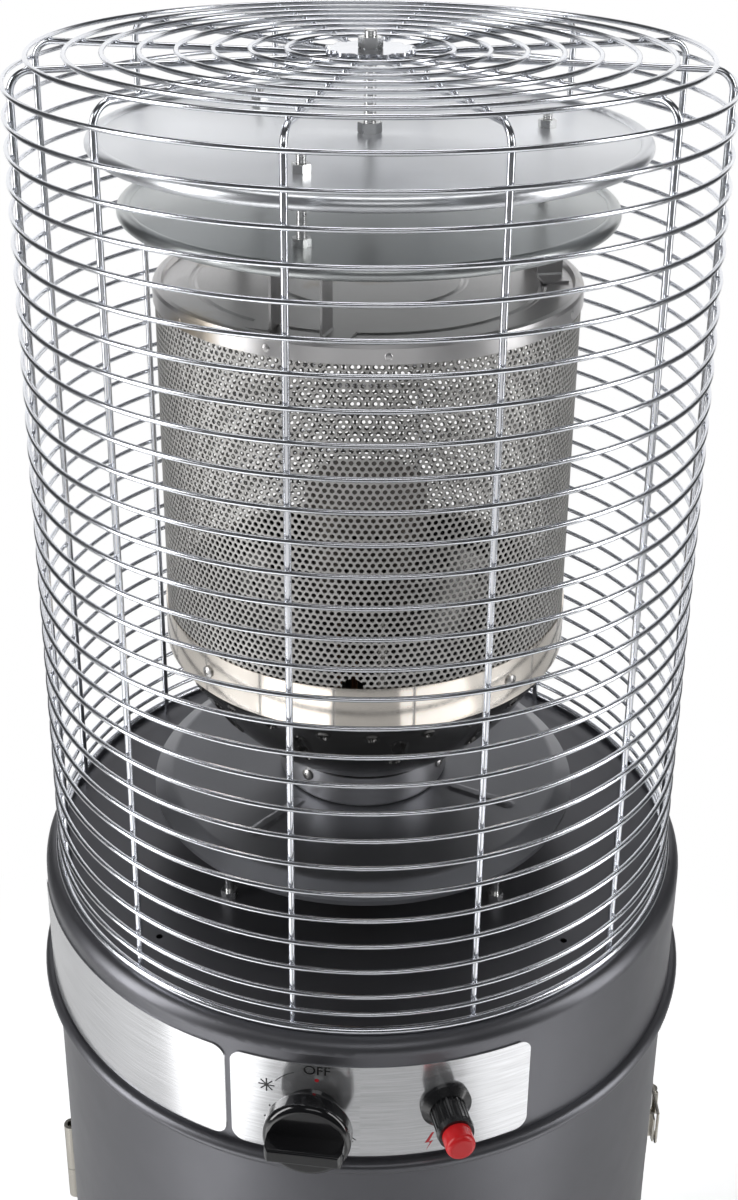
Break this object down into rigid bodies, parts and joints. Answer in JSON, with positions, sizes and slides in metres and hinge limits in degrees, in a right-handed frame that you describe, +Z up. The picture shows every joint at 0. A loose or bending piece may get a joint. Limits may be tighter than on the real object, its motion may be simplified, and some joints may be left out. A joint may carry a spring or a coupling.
{
  "type": "patio heater",
  "caption": "Drum patio heater with a hinged bottle door, push-and-turn gas knob, spark button, perforated emitter, stacked reflectors and a round wire guard.",
  "frame": {"origin": "on the floor, at the middle of the heater's upright axis", "axes": "+Z up along the heater's axis, -Y towards the front with the control panel, +X to the right seen from the front"},
  "size_m": [0.4701, 0.4955, 1.3735],
  "materials": {
    "foot_rubber": "matt moulded rubber",
    "grey_paint": "dark grey powder coat, satin",
    "post_steel": "black paint",
    "brushed_plate": "brushed along its length",
    "zinc_steel": "bright zinc plating",
    "nickel_steel": "nickel plating",
    "valve_brass": "machined brass",
    "black_gloss": "glossy moulding",
    "black_satin": "semi-gloss moulding",
    "button_red": "glossy moulding",
    "copper_tube": "drawn copper tube",
    "burner_steel": "dull stainless steel",
    "white_ceramic": null,
    "lead_rubber": "insulated lead",
    "cup_steel": "satin steel",
    "black_enamel": "gloss black enamel",
    "polished_steel": "polished stainless steel",
    "screen_steel": "perforated stainless steel",
    "heated_steel": "stainless steel with heat tint at the welds",
    "spun_aluminium": "spun, satin",
    "guard_chrome": "bright plated wire"
  },
  "bodies": {
    "frame": {"base_feet": "foot_rubber", "base_pan": "grey_paint", "front_shell": "grey_paint", "side_posts": "post_steel", "head_cover": "grey_paint", "control_panel": "brushed_plate", "side_plate": "brushed_plate", "control_bracket": "zinc_steel", "hinge_front_leaves": "nickel_steel", "hinge_pins": "zinc_steel", "latch_keeper": "nickel_steel", "gas_valve": "valve_brass", "igniter_body": "black_satin", "igniter_nut": "black_satin", "gas_pipe": "copper_tube", "injector": "valve_brass", "mixing_tube": "burner_steel", "burner_head": "burner_steel", "pilot_pipe": "copper_tube", "pilot_burner": "burner_steel", "thermocouple": "copper_tube", "spark_rod": "white_ceramic", "ignition_lead": "lead_rubber", "heat_disc": "grey_paint", "disc_studs": "zinc_steel", "disc_nuts": "zinc_steel", "burner_cup": "cup_steel", "cup_screws": "zinc_steel", "burner_bowl": "black_enamel", "emitter_band": "polished_steel", "band_screws": "zinc_steel", "emitter_screen": "screen_steel", "emitter_cap": "heated_steel", "strap_brackets": "heated_steel", "lower_reflector": "spun_aluminium", "upper_reflector": "spun_aluminium", "reflector_studs": "zinc_steel", "reflector_nuts": "zinc_steel", "centre_stud": "zinc_steel", "centre_nuts": "zinc_steel", "guard_hub": "guard_chrome", "guard_uprights": "guard_chrome", "guard_lower_rings": "guard_chrome", "guard_upper_rings": "guard_chrome", "guard_top_rings": "guard_chrome", "guard_base_ring": "guard_chrome"},
    "door": {"rear_door": "grey_paint", "hinge_door_leaves": "nickel_steel", "latch_base": "nickel_steel", "latch_pin": "zinc_steel"},
    "latch_lever_body": {"latch_lever": "nickel_steel"},
    "latch_bail_body": {"latch_bail": "nickel_steel"},
    "stem": {"valve_stem": "zinc_steel"},
    "knob": {"control_knob": "black_gloss"},
    "button": {"igniter_button": "button_red"}
  },
  "joints": [
    {"name": "door_swing", "type": "hinge", "parent": "frame", "child": "door", "pos_m": [-0.2285, 0, 0.4], "axis": [0, 0, 1], "range_deg": [0, 120]},
    {"name": "latch_lever_turn", "type": "hinge", "parent": "door", "child": "latch_lever_body", "pos_m": [0.2315, 0.014, 0.54], "axis": [0, 0, -1], "range_deg": [0, 110]},
    {"name": "latch_bail_turn", "type": "hinge", "parent": "latch_lever_body", "child": "latch_bail_body", "pos_m": [0.2315, 0.02, 0.54], "axis": [0, 0, -1], "range_deg": [-110, 0]},
    {"name": "valve_turn", "type": "hinge", "parent": "frame", "child": "stem", "pos_m": [-0.02507, -0.19842, 0.771], "axis": [-0.1253, -0.9921, 0], "range_deg": [0, 240]},
    {"name": "knob_push", "type": "slide", "parent": "stem", "child": "knob", "axis": [0.1253, 0.9921, 0], "range_m": [0, 0.0035], "stiffness_N_per_m": 900},
    {"name": "igniter_push", "type": "slide", "parent": "frame", "child": "button", "axis": [-0.23, 0.9732, 0], "range_m": [0, 0.006], "stiffness_N_per_m": 900}
  ],
  "couplings": [
    {"joint": "latch_bail_turn", "follows": "latch_lever_turn", "ratio": -1}
  ]
}
